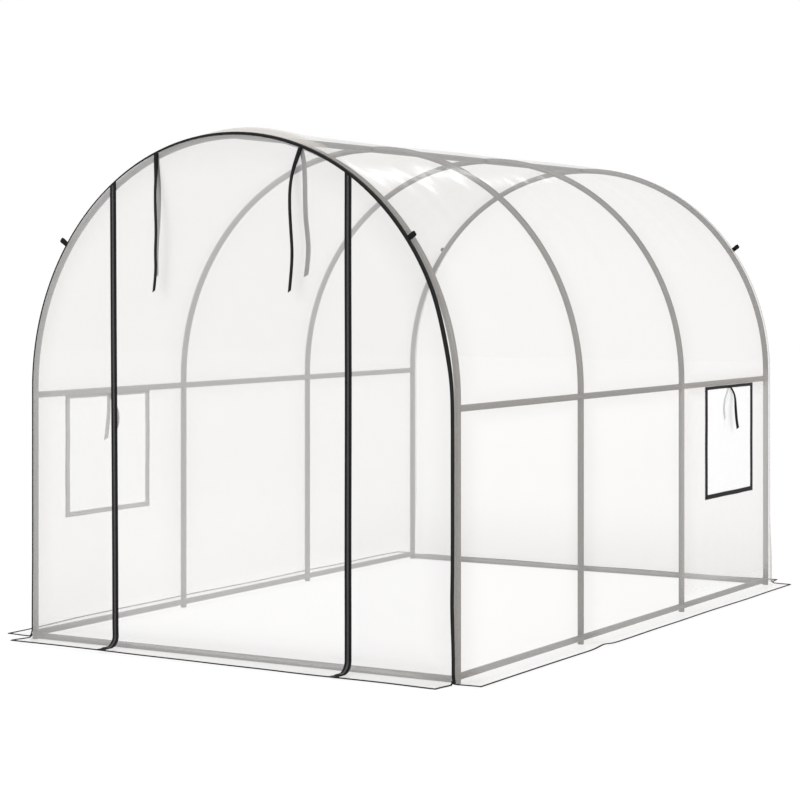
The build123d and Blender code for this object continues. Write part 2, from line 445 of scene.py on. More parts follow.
# %% [markdown]
# The long sheet is one grid of points that goes over the whole tunnel. A single layer is right for film:
# it has no thickness that could be seen. Rows and columns are placed so that some of them fall on the edges
# of the windows, and the faces inside those edges are left out.


# %% Grids
def steps(marks, longest):
    """Numbers from the first mark to the last, through every mark, with steps no longer than asked."""
    values = [marks[0]]
    for low, high in zip(marks, marks[1:]):
        count = max(1, math.ceil((high - low) / longest - 1e-6))
        values += [low + (high - low) * (i + 1) / count for i in range(count)]
    return values


def add_object(name, verts, faces, uvs, material):
    """A mesh object at the origin, with a UV map in metres."""
    mesh = bpy.data.meshes.new(name)
    mesh.from_pydata([tuple(v) for v in verts], [], faces)
    layer = mesh.uv_layers.new(name="UVMap")
    for loop in mesh.loops:
        layer.data[loop.index].uv = uvs[loop.vertex_index]
    mesh.polygons.foreach_set("use_smooth", [True] * len(mesh.polygons))
    mesh.materials.append(material)
    return put(name, mesh)


def grid_piece(name, firsts, seconds, place, material, leave_out=None):
    """A sheet over two lists of numbers; place gives the point of a pair."""
    verts, uvs, faces, index = [], [], [], {}

    def corner(i, j):
        if (i, j) not in index:
            index[i, j] = len(verts)
            verts.append(place(firsts[i], seconds[j]))
            uvs.append((firsts[i], seconds[j]))
        return index[i, j]

    for i in range(len(firsts) - 1):
        for j in range(len(seconds) - 1):
            middle = (firsts[i] + firsts[i + 1]) / 2, (seconds[j] + seconds[j + 1]) / 2
            if leave_out and leave_out(*middle):
                continue
            faces.append((corner(i, j), corner(i + 1, j), corner(i + 1, j + 1), corner(i, j + 1)))
    return add_object(name, verts, faces, uvs, material)


# %% The long sheet
HOLE_HALF = WINDOW_HALF - 0.014
HOLE_LOW = WINDOW_LOW + 0.010
HOLE_HIGH = WINDOW_HIGH - 0.007
CONTACT = 0.030
hole_runs = [ARCH_RUN + ARCH_Z - HOLE_HIGH, ARCH_RUN + ARCH_Z - HOLE_LOW]
rail_run = ARCH_RUN + ARCH_Z - RAIL_Z
run_marks = [0.0, CONTACT, ARCH_RUN, rail_run - 0.018, rail_run, hole_runs[0], hole_runs[1], WALL_RUN]
side_runs = steps(run_marks, 0.030)
side_runs += steps([WALL_RUN, COVER_RUN], 0.0085)[1:]
cover_runs = [-run for run in reversed(side_runs[1:])] + side_runs
END_STEPS = [0.004, 0.008, 0.012, 0.017, 0.023, 0.029, 0.037]
inner_marks = [place + step for place in HOOP_PLACES for step in (-CONTACT, 0.0, CONTACT)][1:-1]
inner_marks += [side * WINDOW_Y + edge for side in (-1.0, 1.0) for edge in (-HOLE_HALF, HOLE_HALF)]
inner_marks.sort()
cover_ys = [-END_Y] + [-HOOP_Y - step for step in reversed(END_STEPS)]
cover_ys += steps(inner_marks, 0.026)
cover_ys += [HOOP_Y + step for step in END_STEPS] + [END_Y]


def in_window(run, y):
    side = -1.0 if run < 0 else 1.0
    beside = abs(y - side * WINDOW_Y) < HOLE_HALF
    return beside and hole_runs[0] < abs(run) < hole_runs[1]


cover_sheet = grid_piece(
    "cover_sheet", cover_runs, cover_ys, lambda run, y: cover_point(run, y)[0], long_film, in_window
)


# Film shades of the long sheet. Besides the veil, these numbers paint shade: darker near the tubes and the
# ridge, on the left side, low on the left wall, and in a dark band along the crown at the door end.
FILM_VEIL = 0.25
REAR_VEIL = 0.17
CROWN_DARK_BAND_VEIL = 0.62
WALL_PALE = 0.86
ROOF_PALE = 0.55
RIDGE_SHADE = 0.45
REAR_TUBE_SHADE_PALE = 0.65
LEFT_WALL_SHADED_SHARE = 0.90
LEFT_ROOF_SHADED_SHARE = 0.85


def cover_veil_and_shade(point):
    """One milkiness, and more on the right wall behind the third hoop. Painted shade near the tubes and the
    ridge, over the left side and low on the left wall, and a painted dark band along the crown at the door
    end.
    """
    wall = 1 - ease(RAIL_Z - 0.02, RAIL_Z + 0.06, point.z)
    hoop_gap = min(abs(point.y - place) for place in HOOP_PLACES)
    rail_gap = 2 * abs(point.z - RAIL_Z if point.z < 1.5 else point.x)
    # Painted shade along every hoop and rail, fading out away from the tube; held is the paleness on the
    # tube, lighter at the back hoops.
    far = ease(0.010, 0.17, min(hoop_gap, rail_gap))
    held = 0.0 if rail_gap < hoop_gap else REAR_TUBE_SHADE_PALE * ease(-0.3, 1.0, point.y)
    wall_pale_and_shade = held + (WALL_PALE - held) * far
    # Painted shade near the ridge.
    roof_pale_and_shade = (ROOF_PALE - RIDGE_SHADE * ease(1.5, 1.95, point.z)) * far
    rear = ease(BAY / 2 - 0.05, BAY / 2 - 0.01, point.y) * ease(0.04, 0.12, point.z) * wall
    # Painted shade over the left side, darkest low on its wall.
    if point.x < 0:
        rear = 0.0
        wall_pale_and_shade *= LEFT_WALL_SHADED_SHARE - LEFT_WALL_SHADED_SHARE * (1 - ease(0.05, 0.40, point.z)) * ease(0.05, 0.12, point.z)
        roof_pale_and_shade *= LEFT_ROOF_SHADED_SHARE
    # A painted dark band along the crown at the door end, standing in for film seen edge on.
    crown = (1 - ease(-1.47, -1.36, point.y)) * ease(1.90, 1.99, point.z)
    roof_pale_and_shade *= 1 - crown
    veil = FILM_VEIL + REAR_VEIL * rear + CROWN_DARK_BAND_VEIL * crown
    return veil, roof_pale_and_shade + (wall_pale_and_shade - roof_pale_and_shade) * wall


set_veil(cover_sheet, cover_veil_and_shade)
print("cover sheet", len(cover_sheet.data.polygons), "faces")

# %% [markdown]
# The end sheets are cut to the outline of the seam, so that they meet the long sheet edge to edge. Their
# columns stand upright and end on the arch. Columns are spaced by the angle on the arch, which puts more of
# them near the sides, where the arch is steep.

# %% Shape of the ends
ZIP_X = 0.545


def seam_radius(side, turn, y):
    return FILM_R - seam_pull(side, turn * FILM_R, y)


def half_inside(x, y):
    """Half width of an end sheet where the arch begins."""
    return seam_radius(math.copysign(1.0, x), math.pi / 2, y)


def arch_height(x, y):
    """Height of the seam over a place across the end."""
    side = math.copysign(1.0, x)
    low, high = 0.0, math.pi / 2
    for _ in range(40):
        turn = (low + high) / 2
        if seam_radius(side, turn, y) * math.sin(turn) < abs(x):
            low = turn
        else:
            high = turn
    return ARCH_Z + seam_radius(side, low, y) * math.cos(low)


def end_place(x, z, y):
    """Columns flare with the seam at the foot."""
    if z >= ARCH_Z:
        return x
    side, inside = math.copysign(1.0, x), half_inside(x, y)
    run = ARCH_RUN + ARCH_Z - max(z, FOOT_Z)
    flare = FILM_R - seam_pull(side, run, y) - inside
    return x + side * flare * ease(0.62, 1.0, abs(x) / inside)


def end_slack(x, z, y):
    """How far an end sheet stands out; it is held flat along its seam and near the ground."""
    inside = half_inside(x, y)
    rim = arch_height(x, y) - z
    hold = ease(0.0, 0.22, rim) * ease(0.10, 0.4, z) * ease(0.0, 0.16, inside - abs(x))
    fold = wobble(x * 5.5, z * 0.8, y * 4.0) + 0.4 * wobble(x * 12.0, z * 1.5, y * 7.0)
    return 0.0035 * hold * fold


def front_lift(x):
    """Height of the door end's skirt edge over the ground: highest at the left."""
    return max(0.0005, 0.0065 - 0.0060 * x + 0.0015 * wobble(x * 3.3, 0.4, 6.1))


def end_bend(x, y):
    """Radius of the turn from end sheet to skirt: widest at the stiff zips, tight at the open corners."""
    corner = CORNER_R if x < 0 or y > 0 else TIGHT_CORNER_R
    bend = BEND_R + (corner - BEND_R) * ease(0.82, 0.965, abs(x))
    if y < 0:
        bend += 0.006 * hump(abs(x), ZIP_X, 0.10)
    return bend


def corner_shift(x, y):
    """How far the skirt's open corners run outwards or inwards from the seam."""
    if y > 0:
        return -0.012
    return 0.022 if x < 0 else -0.014


def end_point(x, level, y):
    """A point of an end sheet. Level is minus the share of the skirt, or the share of the height."""
    facing = math.copysign(1.0, y)
    if level >= 0:
        z = FOOT_Z + level * (arch_height(x, y) - FOOT_Z)
        return Vector((end_place(x, z, y), facing * (END_Y + end_slack(x, z, y)), z))
    reach, z = skirt_point(-level, end_bend(x, y))
    share = ease(0.35, 1.0, -level)
    ripple = RIPPLE * share * (wobble(x * 2.4, 1.5, y * 3.0) - 0.4)
    place = end_place(x, FOOT_Z, y)
    shift = corner_shift(x, y) * share * ease(0.80, 1.0, abs(place))
    place += math.copysign(1.0, place) * shift
    lift = front_lift(x) if y < 0 else 0.004 + 0.003 * wobble(x * 2.9, 2.5, 8.8)
    raised = ease(0.0, 0.5, -level) * lift
    return Vector((place, facing * (END_Y + reach + ripple), z + raised))


# %% Door end and back end
front_left_half, front_right_half = half_inside(-1.0, -END_Y), half_inside(1.0, -END_Y)
back_half = half_inside(1.0, END_Y)
SKIRT_ROWS = 20
levels = [i / SKIRT_ROWS - 1 for i in range(SKIRT_ROWS)] + [i / 60 for i in range(61)]


def fan(low, high, inside):
    """Places across an end, even along the arch."""
    turn_low = math.asin(max(-1.0, low / inside))
    turn_high = math.asin(min(1.0, high / inside))
    return [inside * math.sin(turn) for turn in steps([turn_low, turn_high], 0.034)]


def front_at(x, level):
    return end_point(x, level, -END_Y)


def back_at(x, level):
    return end_point(-x, level, END_Y)


front_left_sheet = grid_piece(
    "front_left_sheet", fan(-front_left_half, -ZIP_X, front_left_half), levels, front_at, end_film
)
front_right_sheet = grid_piece(
    "front_right_sheet", fan(ZIP_X, front_right_half, front_right_half), levels, front_at, end_film
)
door_sheet = grid_piece("door_sheet", fan(-ZIP_X, ZIP_X, front_right_half), levels, front_at, end_film)
back_sheet = grid_piece("back_sheet", fan(-back_half, back_half, back_half), levels, back_at, end_film)


# Door end shades: painted shade at the rim and along the base rail, painted light low on the door.
DOOR_END_VEIL = 0.38
RIM_SHADED_PALE = 0.275
MIDDLE_PALE = 0.415
LOW_LIGHT_AND_SHADE = 0.20


def front_veil_and_shade(point):
    """One milkiness; painted shade along the hoop and the base rail, and painted light low on the door."""
    if point.z > ARCH_Z:
        rim = FILM_R - math.hypot(point.x, point.z - ARCH_Z)
    else:
        rim = FILM_R - abs(point.x)
    gap = min(rim, point.z)
    # Painted light low on the door, painted shade just above the ground.
    low_door_light = (1 - ease(0.25, 0.85, point.z)) * (1 - ease(ZIP_X, ZIP_X + 0.05, abs(point.x)))
    base = 1 - ease(0.03, 0.10, point.z)
    pale = RIM_SHADED_PALE + MIDDLE_PALE * ease(0.0, 0.16, gap)
    return DOOR_END_VEIL, pale + LOW_LIGHT_AND_SHADE * low_door_light * (1 - base) - LOW_LIGHT_AND_SHADE * base


# Back end: painted shade near the ground.
BACK_VEIL = 0.17
BACK_LOW_SHADE_VEIL = 0.09
BACK_LOW_SHADE = 0.80


def back_veil_and_shade(point):
    """Painted shade near the ground: milkier and darker there."""
    low = 1 - ease(0.05, 0.40, point.z)
    return BACK_VEIL + BACK_LOW_SHADE_VEIL * low, 1.0 - BACK_LOW_SHADE * low


for sheet in (front_left_sheet, front_right_sheet, door_sheet):
    set_veil(sheet, front_veil_and_shade)
set_veil(back_sheet, back_veil_and_shade)
end_sheets = (front_left_sheet, door_sheet, front_right_sheet, back_sheet)
print("end sheets", [len(sheet.data.polygons) for sheet in end_sheets])

# %% [markdown]
# Each side has one window: a hole in the long sheet, closed by a flap of softer, milkier film that is
# sewn in behind a black border. The flap is a sheet of its own and lies just outside the wall.


# %% Window panes
HANDS = (("left", -1.0), ("right", 1.0))
PANE_LIFT = 0.0008
PANE_HALF = HOLE_HALF + 0.006
PANE_LOW = WINDOW_LOW + 0.004
PANE_HIGH = WINDOW_HIGH - 0.004
PANE_VEILS = {"left": 0.35, "right": 0.62}


def pane_maker(side):
    def place(along, z):
        rim = min(PANE_HALF - abs(along), z - PANE_LOW, PANE_HIGH - z)
        hold = ease(0.01, 0.12, rim)
        fold = wobble(along * 5.0, z * 2.0, 12.3 + side)
        x = FILM_R + PANE_LIFT + 0.0035 * hold * (0.3 + fold)
        return Vector((side * x, side * WINDOW_Y + side * along, z))

    return place


pane_alongs = steps([-PANE_HALF, PANE_HALF], 0.024)
pane_zs = steps([PANE_LOW, PANE_HIGH], 0.024)
panes = {}
for name, side in HANDS:
    panes[name] = grid_piece(f"{name}_window_pane", pane_alongs, pane_zs, pane_maker(side), pane_film)
    set_veil(panes[name], lambda point: (PANE_VEILS[name], 1.0))
print("window panes", len(panes))

# %% [markdown]
# A tape is a thin strip that lies on the film. It could be an extruded profile, but most tapes here bend
# with the film, so each one is a row of cross sections joined together. A section is a closed loop of
# points, and the two ends are capped, which makes every strip a closed skin.


# %% Strips
def strip_piece(name, sections, runs, material, widths):
    """One closed strip through a list of sections, each a loop of points."""
    verts, uvs, faces = [], [], []
    size = len(sections[0])
    for section, run in zip(sections, runs):
        for point, width in zip(section, widths):
            verts.append(point)
            uvs.append((run, width))
    for i in range(len(sections) - 1):
        for j in range(size):
            k = (j + 1) % size
            faces.append((i * size + j, i * size + k, (i + 1) * size + k, (i + 1) * size + j))
    faces.append(tuple(range(size)))
    faces.append(tuple(range(len(verts) - size, len(verts))))
    piece = add_object(name, verts, faces, uvs, material)
    outward(piece.data)
    return piece


def outward(mesh):
    """Turn the faces of closed skins outwards."""
    work = bmesh.new()
    work.from_mesh(mesh)
    bmesh.ops.recalc_face_normals(work, faces=work.faces)
    work.to_mesh(mesh)
    work.free()


def mesh_of(work, name):
    """Close the work on a mesh and keep the result."""
    mesh = bpy.data.meshes.new(name)
    work.to_mesh(mesh)
    work.free()
    return mesh


def join_pieces(name, parts):
    """Make one piece of several."""
    work = bmesh.new()
    for part in parts:
        work.from_mesh(part.data)
    mesh = mesh_of(work, name)
    for material in parts[0].data.materials:
        mesh.materials.append(material)
    for part in parts:
        bpy.data.meshes.remove(part.data)
    return put(name, mesh)


def heading(points, i):
    """The direction of a line of points at one of them."""
    return points[min(i + 1, len(points) - 1)] - points[max(i - 1, 0)]


SOFT_EDGE = 0.0012


def flat_section(point, side, up, half, low, high):
    """A low strip section with softened edges, and how wide each of its points lies."""
    shoulder = low + 0.55 * (high - low)
    brow = half - SOFT_EDGE
    spots = [(-half, low), (half, low), (half, shoulder), (brow, high), (-brow, high), (-half, shoulder)]
    return [point + across * side + rise * up for across, rise in spots], [across for across, _ in spots]


def tape_along(name, path, half, low, high, material):
    """A strip along a path of (point, side, up)."""
    sections, runs, run, before = [], [], 0.0, None
    for point, side, up in path:
        section, widths = flat_section(point, side, up, half, low, high)
        run += (point - before).length if before else 0.0
        before = point
        sections.append(section)
        runs.append(run)
    return strip_piece(name, sections, runs, material, widths)


# %% Window borders
BORDER_SIDE = 0.028
BORDER_LOW = 0.020
BORDER_HIGH = 0.014
UPRIGHT_RISE = (0.0013, 0.0025)
LEVEL_RISE = (0.0020, 0.0033)
LEVEL_HALF = WINDOW_HALF - 0.003
UPRIGHT_X = WINDOW_HALF - BORDER_SIDE / 2
SILL_Z = WINDOW_LOW + BORDER_LOW / 2
HEAD_Z = WINDOW_HIGH - BORDER_HIGH / 2
BORDER_RUNS = (
    ((-UPRIGHT_X, WINDOW_LOW), (-UPRIGHT_X, WINDOW_HIGH), 0, BORDER_SIDE, UPRIGHT_RISE),
    ((UPRIGHT_X, WINDOW_LOW), (UPRIGHT_X, WINDOW_HIGH), 5, BORDER_SIDE, UPRIGHT_RISE),
    ((-LEVEL_HALF, SILL_Z), (LEVEL_HALF, SILL_Z), 9, BORDER_LOW, LEVEL_RISE),
    ((-LEVEL_HALF, HEAD_Z), (LEVEL_HALF, HEAD_Z), 13, BORDER_HIGH, LEVEL_RISE),
)


def border_path(side, start, end, seed):
    """A straight run on a wall, with the small waves of sewn tape; start and end are (along, z)."""
    path = []
    count = max(2, math.ceil(math.hypot(end[0] - start[0], end[1] - start[1]) / 0.02))
    for i in range(count + 1):
        share = i / count
        along = start[0] + (end[0] - start[0]) * share
        z = start[1] + (end[1] - start[1]) * share
        sway = 0.0022 * math.sin(math.pi * share) * wobble(share * 3.0, seed, 4.4)
        upright = abs(end[1] - start[1]) > abs(end[0] - start[0])
        along, z = (along + sway, z) if upright else (along, z + sway)
        point = Vector((side * FILM_R, side * (WINDOW_Y + along), z))
        across = Vector((0.0, 1.0, 0.0)) if upright else Vector((0.0, 0.0, 1.0))
        path.append((point, across, Vector((side, 0.0, 0.0))))
    return path


border_paths = {}
borders = {}
for name, side in HANDS:
    border_paths[name], strips = [], []
    for start, end, seed, width, rise in BORDER_RUNS:
        path = border_path(side, start, end, 2.0 + side + seed)
        border_paths[name].append(path)
        strips.append(tape_along("strip", path, width / 2, *rise, black_tape))
    borders[name] = join_pieces(f"{name}_window_tape", strips)
print("window borders", len(borders))

# %% [markdown]
# At the door end a black tape covers the seam between the long sheet and the end sheet. It lies on the long
# sheet, and its lip is folded over the edge. At the back the seam is a plain strip of the same clear film.


# %% Seam tapes
def seam_section(run, y_in, y_out, low, high, lip):
    """A section across the seam: along the long sheet, over its edge and back underneath."""
    facing = math.copysign(1.0, y_out)
    marks = [y_in + (y_out - y_in) * i / 4 for i in range(5)]
    spots = [cover_point(run, y) for y in marks]
    edge, out = spots[-1]
    ahead = Vector((0.0, facing, 0.0))
    top = [point + high * normal for point, normal in spots]
    turned = [edge + 0.0016 * ahead + 0.6 * high * out, edge + 0.0016 * ahead - lip * out]
    under = [edge + 0.0005 * ahead - lip * out, edge + 0.0005 * ahead + low * out]
    inner = [point + low * normal for point, normal in reversed(spots)]
    flat = [0.024 * i / 4 for i in range(5)]
    widths = flat + [0.026, 0.030, 0.030, 0.026] + flat[::-1]
    return top + turned + under + inner, widths


def seam_tape(name, facing, y_in, low, high, lip, material):
    foot = WALL_RUN + 0.47 * SKIRT_RUN
    runs = steps([-foot, -WALL_RUN, -ARCH_RUN, ARCH_RUN, WALL_RUN, foot], 0.030)
    sections = []
    for run in runs:
        edge_in = facing * (y_in + 0.0012 * wobble(run * 4.0, facing, 3.3))
        crown = hump(run, 0.0, 0.45)
        depth = lip * (0.65 + 0.40 * ease(-1.0, 0.6, run) - 0.60 * ease(0.95, 1.40, run) + 0.40 * crown)
        section, widths = seam_section(run, edge_in, facing * END_Y, low, high, depth)
        sections.append(section)
    return strip_piece(name, sections, runs, material, widths)


front_seam_tape = seam_tape("front_seam_tape", -1.0, 1.5205, 0.0004, 0.0018, 0.0062, black_tape)
back_seam_strip = seam_tape("back_seam_strip", 1.0, 1.5095, 0.0004, 0.0010, 0.0030, long_film)
set_veil(back_seam_strip, lambda point: (0.30, 0.4))
print("seam tapes", front_seam_tape.name, back_seam_strip.name)

# %% [markdown]
# The door hangs between two long zips, so that it can be opened from below and rolled up. Each zip is a
# woven tape with two rows of nylon coil down its middle. There are some thousand loops in each, and a node
# tree sets one small bar at every step of the path.


# %% Paths for node trees
def path_object(path):
    """A line of vertices and edges that carries its upward direction."""
    mesh = bpy.data.meshes.new("line")
    mesh.from_pydata([tuple(spot[0]) for spot in path], [(i, i + 1) for i in range(len(path) - 1)], [])
    up = mesh.attributes.new("up", "FLOAT_VECTOR", "POINT")
    for i, spot in enumerate(path):
        up.data[i].vector = spot[2]
    return put("line", mesh)


def new_tree(name, sizes):
    """A geometry tree with named size inputs; gives the tree, its flow and its inputs."""
    tree = bpy.data.node_groups.new(name, "GeometryNodeTree")
    tree.interface.new_socket("Geometry", in_out="INPUT", socket_type="NodeSocketGeometry")
    for label, value in sizes.items():
        socket = tree.interface.new_socket(label, in_out="INPUT", socket_type="NodeSocketFloat")
        socket.default_value = value
    tree.interface.new_socket("Geometry", in_out="OUTPUT", socket_type="NodeSocketGeometry")
    entry = tree.nodes.new("NodeGroupInput")
    flow = Flow(tree)
    given = {socket.name: Flow(tree, socket) for socket in entry.outputs if socket.name}
    return tree, flow, given


def end_tree(tree, flow, geometry, material):
    real = flow.node("GeometryNodeRealizeInstances", None, {0: geometry})
    coloured = flow.node("GeometryNodeSetMaterial", None, {"Geometry": real, "Material": material})
    leave = tree.nodes.new("NodeGroupOutput")
    tree.links.new(coloured.socket, leave.inputs[0])


def plain_mesh(carrier):
    """The final mesh of an object, as a copy."""
    depsgraph = bpy.context.evaluated_depsgraph_get()
    return bpy.data.meshes.new_from_object(carrier.evaluated_get(depsgraph))


def grow(name, path, tree):
    """Run a tree on a path, keep the result as a plain mesh and drop the line."""
    carrier = path_object(path)
    carrier.modifiers.new("grow", "NODES").node_group = tree
    mesh = plain_mesh(carrier)
    mesh.name = name
    bpy.data.meshes.remove(carrier.data)
    return put(name, mesh)


def spots_along(flow, given, step):
    """Points at even steps along the line that a tree is given."""
    line = flow.node("GeometryNodeMeshToCurve", None, {"Mesh": given["Geometry"]})
    evenly = {"Curve": line, "Length": given[step]}
    return flow.node("GeometryNodeResampleCurve", {"mode": "LENGTH"}, evenly)


def bars_on_path(flow, curve, turn, shift, length, radius, sides):
    """Small round bars on the points of a curve, turned and shifted from its direction."""
    up = flow.node("GeometryNodeInputNamedAttribute", {"data_type": "FLOAT_VECTOR"}, {"Name": "up"})
    ahead = flow.node("GeometryNodeInputTangent")
    axes = {"primary_axis": "X", "secondary_axis": "Z"}
    facing = flow.node("FunctionNodeAxesToRotation", axes, {"Primary Axis": ahead, "Secondary Axis": up})
    shape = {"Vertices": sides, "Radius": radius, "Depth": length}
    bar = flow.node("GeometryNodeMeshCylinder", {"fill_type": "NGON"}, shape)
    laid = {"Geometry": bar, "Translation": shift, "Rotation": turn}
    placed = flow.node("GeometryNodeTransform", None, laid)
    inputs = {"Points": curve, "Instance": placed, "Rotation": facing}
    return flow.node("GeometryNodeInstanceOnPoints", None, inputs, out="Instances")


# %% Zip teeth tree
ZIP_SIZES = {"Pitch": 0.0026, "Reach": 0.0046, "Bar": 0.0010}


def make_teeth_tree():
    tree, flow, given = new_tree("zip_teeth", ZIP_SIZES)
    spots = spots_along(flow, given, "Pitch")
    rows = []
    for side in (-1.0, 1.0):
        middle = given["Reach"] * (0.42 * side)
        forward = given["Pitch"] * (0.25 * side)
        shift = flow.node("ShaderNodeCombineXYZ", None, {0: forward, 1: middle, 2: 0.0})
        turn = (math.pi / 2, 0.0, 0.22 * side)
        rows.append(bars_on_path(flow, spots, turn, shift, given["Reach"], given["Bar"], 6))
    both = flow.node("GeometryNodeJoinGeometry")
    join = tree.nodes[-1]
    for row in rows:
        tree.links.new(row.socket, join.inputs[0])
    end_tree(tree, flow, both, coil_nylon)
    return tree


teeth_tree = make_teeth_tree()


# %% Zips
ZIP_HALF = 0.015
ZIP_RISE = (0.0005, 0.0018)
COIL_TOP = 0.993
COIL_LIFT = 0.0026
front_axis = Vector((1.0, 0.0, 0.0))


def zip_lean(x, level):
    """How far a zip strays sideways: the left one leans out at the top and in at the foot."""
    if x > 0:
        return 0.003
    return 0.0055 - 0.0125 * level if level > 0 else 0.0055 - 0.004 * level


def front_path(x, levels_used, lift):
    """A path up the door end at one place across, with its outward directions."""
    points = [front_at(x + zip_lean(x, level), level) for level in levels_used]
    path = []
    for i, point in enumerate(points):
        out = front_axis.cross(heading(points, i)).normalized()
        path.append((point + lift * out, front_axis, out))
    return path


def arch_slope(x):
    """How steeply the front seam rises at a place across the end."""
    return (arch_height(x + 0.01, -END_Y) - arch_height(x - 0.01, -END_Y)) / 0.02


zip_levels = [level for level in levels if level < 0.985] + [0.9985]
zip_tapes, zip_coils, zip_paths = {}, {}, {}
for name, hand in HANDS:
    x = hand * ZIP_X
    path = front_path(x, zip_levels, 0.0)
    point, side, up = path[-1]
    path[-1] = (point, side + arch_slope(x) * Vector((0.0, 0.0, 1.0)), up)
    zip_paths[name] = path
    zip_tapes[name] = tape_along(f"{name}_zip_tape", path, ZIP_HALF, *ZIP_RISE, zip_cloth)
    coil_path = front_path(x, zip_levels[:-1] + [COIL_TOP], COIL_LIFT)
    zip_coils[name] = grow(f"{name}_zip_coil", coil_path, teeth_tree)
print("zip coil faces", [len(c.data.polygons) for c in zip_coils.values()])

# %% [markdown]
# The slider sits at the foot of each closed zip, near the edge of the skirt. It is a small cast body with
# a bridge and a pull that hangs from it. A stop of folded tape closes the end of the zip.


# %% Sliders and stops
def add_block(work, size, centre, matrix, edge):
    """A block with rounded edges, added to a mesh under work."""
    made = bmesh.ops.create_cube(work, size=1.0)
    corners = made["verts"]
    bmesh.ops.scale(work, vec=size, verts=corners)
    bmesh.ops.translate(work, vec=centre, verts=corners)
    bmesh.ops.transform(work, matrix=matrix, verts=corners)
    edges = list({e for v in corners for e in v.link_edges})
    bmesh.ops.bevel(work, geom=edges, offset=edge, segments=2, profile=0.6, affect="EDGES")


def place_matrix(point, ahead, side, up):
    """A frame with X along ahead, Y along side and Z along up."""
    matrix = Matrix((ahead, side, up)).transposed().to_4x4()
    matrix.translation = point
    return matrix


def blocks_piece(name, blocks, material):
    work = bmesh.new()
    for size, centre, matrix, edge in blocks:
        add_block(work, size, centre, matrix, edge)
    mesh = mesh_of(work, name)
    mesh.uv_layers.new(name="UVMap")
    mesh.polygons.foreach_set("use_smooth", [False] * len(mesh.polygons))
    mesh.materials.append(material)
    return put(name, mesh)


def zip_place(path, at, before, after):
    """A frame on a zip's path, with X towards the foot of the zip and Z up."""
    point, side, _ = path[at]
    ahead = (path[before][0] - path[after][0]).normalized()
    up = side.cross(ahead).normalized()
    return place_matrix(point, ahead, side, up if up.z > 0 else -up)


sliders = {}
stops = {}
for name, path in zip_paths.items():
    at = zip_place(path, 2, 1, 3)
    sliders[name] = blocks_piece(
        f"{name}_zip_slider",
        [
            ((0.020, 0.012, 0.0016), (0.0, 0.0, 0.0052), at, 0.0006),
            ((0.020, 0.0016, 0.0040), (0.0, 0.0062, 0.0034), at, 0.0005),
            ((0.020, 0.0016, 0.0040), (0.0, -0.0062, 0.0034), at, 0.0005),
            ((0.012, 0.0035, 0.0030), (0.0, 0.0, 0.0072), at, 0.0010),
            ((0.030, 0.0075, 0.0014), (-0.020, 0.0, 0.0072), at, 0.0006),
        ],
        black_lacquer,
    )
    at = zip_place(path, 0, 0, 1)
    stops[name] = blocks_piece(
        f"{name}_zip_stop",
        [
            ((0.016, 0.034, 0.0050), (-0.006, 0.0, 0.0008), at, 0.0016),
            ((0.006, 0.012, 0.0066), (-0.016, 0.0, 0.0012), at, 0.0014),
        ],
        black_tape,
    )
print("zip sliders", len(sliders), "and stops", len(stops))

# %% [markdown]
# The free edges of every skirt are bound with a thin black hem. It follows the waves of the skirt, so
# it is a curve through the edge points with a small flat profile swept along it by a node tree.


# %% Hem tree
HEM_SIZES = {"Width": 0.0085, "Height": 0.0046}


def make_hem_tree():
    tree, flow, given = new_tree("hem", HEM_SIZES)
    line = flow.node("GeometryNodeMeshToCurve", None, {"Mesh": given["Geometry"]})
    ring = flow.node("GeometryNodeCurvePrimitiveCircle", {"mode": "RADIUS"}, {"Resolution": 8, "Radius": 0.5})
    stretch = flow.node("ShaderNodeCombineXYZ", None, {0: given["Width"], 1: given["Height"], 2: 1.0})
    ring = flow.node("GeometryNodeTransform", None, {"Geometry": ring, "Scale": stretch})
    sweep = {"Curve": line, "Profile Curve": ring, "Fill Caps": True}
    swept = flow.node("GeometryNodeCurveToMesh", None, sweep)
    smooth = flow.node("GeometryNodeSetShadeSmooth", None, {"Geometry": swept})
    end_tree(tree, flow, smooth, black_tape)
    return tree


hem_tree = make_hem_tree()


# %% Skirt hems
def edge_path(points):
    up = Vector((0.0, 0.0, 1.0))
    return [(point, up, up) for point in points]


def side_edge(side):
    """The three free edges of a long skirt."""
    downs = [run for run in cover_runs if side * run > WALL_RUN + 0.45 * SKIRT_RUN]
    downs.sort(key=abs)
    out_front = [cover_point(run, -END_Y)[0] for run in downs]
    along = [cover_point(side * COVER_RUN, y)[0] for y in cover_ys[1:-1]]
    back_in = [cover_point(run, END_Y)[0] for run in reversed(downs)]
    return out_front + along + back_in


def end_edge(place, left, right):
    """The three free edges of an end skirt."""
    downs = [level for level in levels if level < -0.38]
    xs = steps([-left, right], 0.03)
    out_left = [place(-left, level) for level in reversed(downs)]
    along = [place(x, -1.0) for x in xs[1:-1]]
    in_right = [place(right, level) for level in downs]
    return out_left + along + in_right


hem_lines = {
    "left": side_edge(-1.0),
    "right": side_edge(1.0),
    "front": end_edge(front_at, front_left_half, front_right_half),
    "back": end_edge(back_at, back_half, back_half),
}
hems = {}
for name, line in hem_lines.items():
    hems[name] = grow(f"{name}_skirt_hem", edge_path(line), hem_tree)
print("hems", {name: len(h.data.polygons) for name, h in hems.items()})

# %% [markdown]
# Every black tape is sewn on, and the rows of stitches are what tells sewn tape from a painted band. One node
# tree sets a short rounded bar at every step along a line, for all the tapes.


# %% Stitch tree
STITCH_SIZES = {"Step": 0.005, "Stitch": 0.0034, "Thread": 0.0004}


